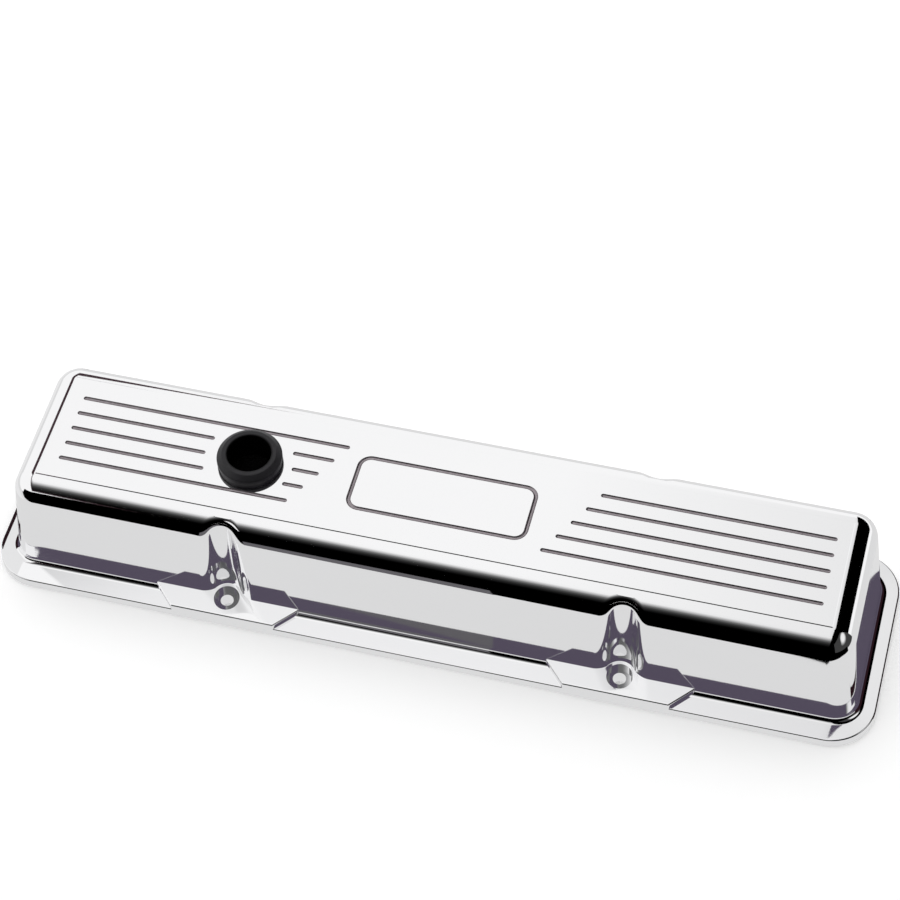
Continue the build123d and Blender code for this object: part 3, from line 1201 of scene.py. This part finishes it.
@dataclass
class CoverCasting:
    """The whole casting: outer skin, pads, milling, holes and hollow, with exact normals on its skin."""

    form: CoverForm = field(default_factory=CoverForm)
    breather_radius: float = 14.25
    breather_depth: float = 8.0
    breather_above: float = 2.0
    breather_around: int = 128
    sharp_angle: float = 32.0
    area_weight: int = 80
    skin_tolerance: float = 0.004
    facing_tolerance: float = 0.9
    level_tolerance: float = 1e-5
    down_tolerance: float = -0.99

    def build(self, finishes: dict) -> bpy.types.Object:
        """Build and dress the casting.

        Args:
            finishes: Material for each zone.

        Returns:
            The finished piece.
        """
        form, pad, hollow = self.form, BoltPad(self.form), Hollow(self.form)
        casting = stack_piece("polished_cover", SkinGrid(form).rings())
        log.info("skin of the cover: %d faces", len(casting.data.polygons))
        casting.data.materials.append(finishes[Zone.POLISHED])
        low, high = form.body_height - self.breather_depth, form.panel_height + self.breather_above
        middle = (form.breather_x, 0)
        breather = rod("breather", self.breather_radius, low, high, middle, self.breather_around)
        for tool, zone, way in (
            (joined("pads", [pad.solid(*end) for end in ENDS]), Zone.POLISHED, Way.JOIN),
            (joined("cutter", [breather] + [pad.drill(*end) for end in ENDS]), Zone.POLISHED, Way.CUT),
            (MilledPattern(form).tool(), Zone.MILLED, Way.CUT),
            (hollow.core(), Zone.AS_CAST, Way.CUT),
            (joined("drills", hollow.screw_drills()), Zone.AS_CAST, Way.CUT),
        ):
            tool.data.materials.clear()
            tool.data.materials.append(finishes[zone])
            combine(casting, tool, way)
        self.face_gasket(casting, finishes[Zone.FACED])
        self.smooth(casting)
        log.info("casting: %d faces", len(casting.data.polygons))
        return casting

    def face_gasket(self, casting: bpy.types.Object, finish: bpy.types.Material) -> None:
        """Give the flat underside of the flange its own finish: the faces at height 0 that look down."""
        mesh = casting.data
        mesh.materials.append(finish)
        level = np.abs(read(mesh.polygons, "center", 3)[:, 2]) < self.level_tolerance
        below = level & (read(mesh.polygons, "normal", 3)[:, 2] < self.down_tolerance)
        index = read(mesh.polygons, "material_index", 1, np.int32)[:, 0]
        index[below] = len(mesh.materials) - 1
        mesh.polygons.foreach_set("material_index", index)

    def smooth(self, casting: bpy.types.Object) -> None:
        """Shade the casting smooth: area-weighted normals, and the form's own normals on the outer skin."""
        soften(casting.data, self.sharp_angle)
        weighted = casting.modifiers.new("weighted", "WEIGHTED_NORMAL")
        weighted.mode = "FACE_AREA"
        weighted.weight = self.area_weight
        weighted.keep_sharp = True
        settle(casting)
        mesh = casting.data
        normal = read(mesh.corner_normals, "vector", 3)
        owner = read(mesh.loops, "vertex_index", 1, np.int32)[:, 0]
        sides = read(mesh.polygons, "loop_total", 1, np.int32)[:, 0]
        facing = np.repeat(read(mesh.polygons, "normal", 3), sides, axis=0)
        skin = self.form.skin(read(mesh.vertices, "co", 3).astype(float) / METRE)
        exact = skin.normal[owner]
        on_skin = np.abs(skin.distance[owner]) < self.skin_tolerance
        on_skin &= np.sum(exact * facing, axis=1) > self.facing_tolerance
        mesh.normals_split_custom_set(np.where(on_skin[:, None], exact, normal).tolist())
        log.info("exact normals at %d of %d corners", int(on_skin.sum()), len(owner))


@dataclass
class BreatherGrommet:
    """Rubber grommet whose lip stands on the panel, turned as one profile."""

    centre_x: float = -100.0
    base: float = 66.8
    bore: float = 11.1
    height: float = 7.0
    crown: float = 14.0
    lip: float = 16.8
    shoulder: float = 4.6
    foot: float = 16.2
    foot_height: float = 1.8
    neck: float = 14.15
    plate: float = 4.9
    tail: float = 15.8
    tail_end: float = 14.0
    tail_height: float = 5.0
    tail_step: float = 1.6
    rounding: float = 1.0
    bore_rounding: float = 0.3
    foot_rounding: float = 0.2
    edge_rounding: float = 0.5
    arc_steps: int = 8
    around: int = 160
    sharp_angle: float = 35.0

    def profile(self) -> np.ndarray:
        """Radius and height round the section, with every corner but the neck's replaced by an arc."""
        low, step = -self.plate - self.tail_height, -self.plate - self.tail_step
        return rounded_profile([
            (self.bore, low, self.bore_rounding), (self.bore, self.height, self.rounding),
            (self.crown, self.height, self.rounding), (self.lip, self.shoulder, self.rounding),
            (self.lip, self.foot_height, self.edge_rounding),
            (self.foot, self.foot_height, self.foot_rounding), (self.foot, 0.0, 0.0),
            (self.neck, 0.0, 0.0), (self.neck, -self.plate, 0.0),
            (self.tail, -self.plate, 0.0), (self.tail, step, self.edge_rounding),
            (self.tail_end, low, self.edge_rounding),
        ], self.arc_steps)

    def build(self, material: bpy.types.Material) -> bpy.types.Object:
        """Build and dress the grommet."""
        piece = revolved("rubber_grommet", self.profile() + [0, self.base], (self.centre_x, 0), self.around)
        piece.data.materials.append(material)
        soften(piece.data, self.sharp_angle)
        return piece


# Stage


@dataclass
class PhotoCamera:
    """Camera at the photograph's viewing angle."""

    place: tuple = (258.9, -803.3, 1232.4)
    aim: tuple = (-2.6, 29.83, 66.8)
    roll: float = -3.5006
    lens: float = 114.455
    clip: tuple = (50.0, 50000.0)

    def build(self) -> bpy.types.Object:
        """Make the camera and set it as the scene's."""
        data = bpy.data.cameras.new("photo_camera")
        data.lens = self.lens
        data.clip_start, data.clip_end = np.multiply(self.clip, METRE)
        camera = bpy.data.objects.new("photo_camera", data)
        bpy.context.scene.collection.objects.link(camera)
        place, aim = Vector(self.place) * METRE, Vector(self.aim) * METRE
        turn = (aim - place).to_track_quat("-Z", "Y").to_matrix()
        turn = turn @ Matrix.Rotation(math.radians(self.roll), 3, "Z")
        camera.matrix_world = Matrix.Translation(place) @ turn.to_4x4()
        bpy.context.scene.camera = camera
        return camera


@dataclass
class Studio:
    """Pale floor, white surround, overhead softbox and dark flags, as the mirror finish needs them.

    The cards are seen by reflections only: box is the softbox, gap the dark strip left of it, flag the dark
    card right of it, screen and sill the strips low in front, flap those beyond the ends, and window the
    light on the right.
    """

    floor_half: float = 3000.0
    floor_level: float = -0.1
    floor_colour: float = 0.80
    floor_lift: float = 0.30
    floor_mirrored: float = 0.76
    fill: float = 0.60
    lamp_size: float = 1600.0
    lamp_power: float = 14.0
    lamp_place: tuple = (-200.0, 400.0, 1600.0)
    ceiling: float = 1000.0
    wide: float = 3000.0
    box_left: tuple = ((-720, -1770), (-720, 420), (-645, 600), (-645, 2200))
    box_right: float = 350.0
    box_back: float = 2200.0
    box_front: float = -1770.0
    box_full: float = -150.0
    box_fall: tuple = (
        (-315, 0.96), (-464, 0.58), (-635, 0.19), (-838, 0.055), (-1097, 0.016), (-1454, 0.003),
    )
    box_bow: float = 0.9
    box_bow_from: float = -100.0
    box_dim: float = 0.80
    gap_left: tuple = ((-790, -1770), (-790, 420), (-951, 600), (-951, 2200))
    gap_colour: tuple = (0.055, 0.033, 0.040, 1.0)
    flag_right: float = 3450.0
    flag_back: float = 4500.0
    # painted reflection: cards seen after more than one glossy bounce are lightened to at least this colour
    second_reflection_colour: tuple = (0.100, 0.084, 0.122, 1.0)
    second_reflection_depth: float = 1.5
    screen: tuple = ((-3000, -1490), (-330, -137), (205, -79.5), (236, -88), (290, -86), (330, -52))
    screen_heights: tuple = (8.0, 60.0)
    sill: tuple = ((-112, -109), (28, -94))
    sill_heights: tuple = (8.0, 40.0)
    sill_colour: tuple = (0.13, 0.125, 0.135, 1.0)
    flap: tuple = ((236, 0), (236, 12), (232.5, 12))
    flap_way: tuple = (-38, 130)
    flap_colour: tuple = (0.020, 0.008, 0.011, 1.0)
    ledge: tuple = ((-290, -60), (-232, -60), (-232, 120), (-290, 120))
    ledge_height: float = 40.0
    ledge_colour: tuple = (0.85, 0.85, 0.85, 1.0)
    window: tuple = ((600, -700), (600, 185))
    window_heights: tuple = (0.0, 700.0)
    window_middle: tuple = (600, 10, 400)
    window_reach: tuple = (1.0, 310.0, 150.0)
    window_fade: tuple = (1.0, 0.4)
    window_lean: float = 44.0
    window_glow: tuple = (0.05, 0.90)

    def build(self) -> None:
        """Set up the world, the floor, the light and the cards."""
        self.world()
        self.floor()
        self.lamp()
        left, front, right, back = self.box_left, self.box_front, self.box_right, self.box_back
        far, end = self.flag_right, self.flag_back
        flag = [(right, front), (far, front), (far, end), (right, end)]
        drape = ((-self.wide, front), (self.wide, front))
        pale = (self.floor_mirrored,) * 3 + (1.0,)
        self.card("softbox", self.level([(right, back), (right, front), *left]), self.box_light)
        self.card("left_gap", self.level([*self.gap_left, *reversed(left)]), self.gap_colour)
        self.card("right_flag", self.level(flag), BLACK)
        self.card("front_drape", self.upright(drape, 0, self.ceiling), BLACK)
        self.card("floor_screen", self.upright(self.screen, *self.screen_heights), BLACK)
        self.card("window_sill", self.upright(self.sill, *self.sill_heights), self.sill_colour)
        self.card("end_flaps", self.flaps(), self.flap_colour, over=pale)
        self.card("left_ledge", self.level(self.ledge, self.ledge_height), self.ledge_colour)
        self.card("side_window", self.upright(self.window, *self.window_heights), self.soft_light)

    def level(self, plan: list | tuple, height: float | None = None) -> list:
        """Corners of a level card at a height, or else at the ceiling, as a list of one face."""
        return [[(*corner, self.ceiling if height is None else height) for corner in plan]]

    def upright(self, way: tuple, low: float, high: float) -> list:
        """Faces of an upright card that follows a way in plan."""
        return [[(*a, low), (*b, low), (*b, high), (*a, high)] for a, b in zip(way[:-1], way[1:])]

    def flaps(self) -> list:
        """Faces of the low dark strips beyond both ends, which turn in a lip towards the cover."""
        front, back = self.flap_way
        right = [
            [(x0, back, z0), (x0, front, z0), (x1, front, z1), (x1, back, z1)]
            for (x0, z0), (x1, z1) in zip(self.flap[:-1], self.flap[1:])
        ]
        return right + [[(-x, y, z) for x, y, z in reversed(face)] for face in right]

    def world(self) -> None:
        """White surround for the camera and for reflections, and a plainer fill for the rest."""
        world = bpy.data.worlds.new("surround")
        bpy.context.scene.world = world
        world.use_nodes = True
        wiring = Wiring(world.node_tree)
        rays = wiring.add("ShaderNodeLightPath").outputs
        seen = rays["Is Camera Ray"]
        for name in ("Is Glossy Ray", "Is Transmission Ray"):
            seen = wiring.math("MAXIMUM", seen, rays[name])
        back = wiring.nodes["Background"].inputs
        wiring.feed(back["Color"], WHITE)
        wiring.feed(back["Strength"], wiring.ranged(seen, (self.fill, 1.0)))

    def floor(self) -> None:
        """Plain pale floor that keeps the cover's shadow, and that reflections see evenly lit."""
        half = self.floor_half
        corners = [(-half, -half), (half, -half), (half, half), (-half, half)]
        floor = mesh_piece("floor", np.array(self.level(corners, self.floor_level)[0]), [[0, 1, 2, 3]])
        paper = Shader("floor_paper")
        rays = paper.add("ShaderNodeLightPath").outputs
        paper.dress({
            "Base Color": (self.floor_colour,) * 3 + (1.0,), "Roughness": 1.0, "Specular IOR Level": 0.0,
            "Emission Color": WHITE,
            "Emission Strength": paper.math("MULTIPLY", rays["Is Camera Ray"], self.floor_lift),
        })
        even = paper.add("ShaderNodeEmission", {"Strength": self.floor_mirrored}).outputs[0]
        shares = {0: rays["Is Glossy Ray"], 1: paper.surface.outputs[0], 2: even}
        either = paper.add("ShaderNodeMixShader", shares)
        paper.feed(paper.nodes["Material Output"].inputs["Surface"], either.outputs[0])
        floor.data.materials.append(paper.material)

    def lamp(self) -> None:
        """Large soft light overhead, a little behind the cover."""
        data = bpy.data.lights.new("overhead", "AREA")
        data.shape = "RECTANGLE"
        data.size = data.size_y = self.lamp_size * METRE
        data.energy = self.lamp_power
        lamp = bpy.data.objects.new("overhead", data)
        bpy.context.scene.collection.objects.link(lamp)
        lamp.location = Vector(self.lamp_place) * METRE
        lamp.rotation_mode = "QUATERNION"
        lamp.rotation_quaternion = (-lamp.location).to_track_quat("-Z", "Y")
        lamp.visible_glossy = False

    def box_light(self, wiring: Wiring) -> bpy.types.NodeSocket:
        """Brightness across the softbox, from its object coordinates.

        It is full above and behind the cover and falls off towards the camera's side along the named steps.
        The fall starts sooner on the left, by the bow times the square of the distance from where it begins,
        and the right end is dimmer.

        Args:
            wiring: The nodes of the softbox.

        Returns:
            The brightness.
        """
        place = wiring.add("ShaderNodeTexCoord").outputs["Object"]
        x, y, _ = wiring.add("ShaderNodeSeparateXYZ", {0: place}).outputs
        bow_from, right = self.box_bow_from * METRE, self.box_right * METRE
        past = wiring.math("MAXIMUM", wiring.math("SUBTRACT", bow_from, x), 0.0)
        bow = wiring.math("MULTIPLY_ADD", wiring.math("MULTIPLY", past, past), -self.box_bow, y)
        share = wiring.ranged(bow, (0.0, 1.0), (self.box_front * METRE, 0.0))
        ramp = wiring.add("ShaderNodeValToRGB", {"Fac": share})
        ramp.color_ramp.elements[1].color = WHITE
        ramp.color_ramp.elements[1].position = 1 - self.box_full / self.box_front
        for place_y, light in self.box_fall:
            ramp.color_ramp.elements.new(1 - place_y / self.box_front).color = (light, light, light, 1)
        dim = wiring.ranged(x, (1.0, self.box_dim), (bow_from, right))
        return wiring.math("MULTIPLY", ramp.outputs["Color"], dim)

    def soft_light(self, wiring: Wiring) -> bpy.types.NodeSocket:
        """Brightness of the side window, which fades from its middle to its edges.

        Args:
            wiring: The nodes of the window.

        Returns:
            The brightness.
        """
        about = wiring.add("ShaderNodeMapping", {
            "Vector": wiring.add("ShaderNodeTexCoord").outputs["Object"],
            "Location": np.multiply(self.window_middle, METRE),
            "Rotation": (math.radians(self.window_lean), 0, 0),
            "Scale": np.multiply(self.window_reach, METRE),
        }, vector_type="TEXTURE")
        reach = wiring.add("ShaderNodeVectorMath", {0: about.outputs["Vector"]}, operation="LENGTH")
        spread = self.window_glow, self.window_fade
        return wiring.ranged(reach.outputs["Value"], *spread, interpolation_type="SMOOTHSTEP")

    def card(self, name: str, faces: list, glow: tuple | Callable, over: tuple | None = None) -> None:
        """Hang a card that only reflections see, and that a second reflection sees lightened to a painted
        reflection colour.

        Args:
            name: Name of the card.
            faces: Corners of each of its faces.
            glow: Its colour, or the method that adds the nodes of its brightness.
            over: Colour of its other side, or None for the same one.
        """
        points = np.array(faces, float)
        count, sides = points.shape[:2]
        card = mesh_piece(name, points.reshape(-1, 3), np.arange(count * sides).reshape(-1, sides).tolist())
        paint = Shader(name)
        paint.nodes.remove(paint.surface)
        colour = glow(paint) if callable(glow) else glow
        if over:
            behind = paint.add("ShaderNodeNewGeometry").outputs["Backfacing"]
            colour = paint.mixed(behind, over, glow)
        # painted reflection: past the first glossy bounce the card is lightened to a set colour
        depth = paint.add("ShaderNodeLightPath").outputs["Glossy Depth"]
        second = paint.math("GREATER_THAN", depth, self.second_reflection_depth)
        colour = paint.mixed(second, colour, self.second_reflection_colour, blend_type="LIGHTEN")
        paint.surface = paint.add("ShaderNodeEmission", {"Color": colour})
        paint.feed(paint.nodes["Material Output"].inputs["Surface"], paint.surface.outputs[0])
        card.data.materials.append(paint.material)
        card.visible_camera = card.visible_diffuse = False
        card.visible_shadow = card.visible_transmission = False


def main() -> None:
    """Build the studio, then the pieces in order."""
    logging.basicConfig(level=logging.INFO, format="%(message)s")
    bpy.context.scene.view_settings.view_transform = "Standard"
    PhotoCamera().build()
    Studio().build()
    grain = grain_group()
    finishes = {
        Zone.POLISHED: PolishedAluminium().material(grain),
        Zone.AS_CAST: CastAluminium().material(grain),
        Zone.FACED: FacedAluminium().material(grain),
        Zone.MILLED: MilledAluminium().material(grain),
    }
    casting = CoverCasting().build(finishes)
    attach(casting, "root")
    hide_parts("cover_casting")
    grommet = BreatherGrommet().build(MouldedRubber().material(grain))
    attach(grommet, "root")
    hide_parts("breather_grommet")
    for node, finish in (
        # the baffle gets painted shade below the breather's hole
        ("oil_baffle", ZincPlate(hole_shaded=True)),
        ("baffle_screws", ZincPlate(name="zinc_screws", stretch=1.0)),
    ):
        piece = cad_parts[node]
        piece.data.materials.clear()
        piece.data.materials.append(finish.material(grain))
        log.info("%s dressed", node)


if __name__ == "__main__":
    main()
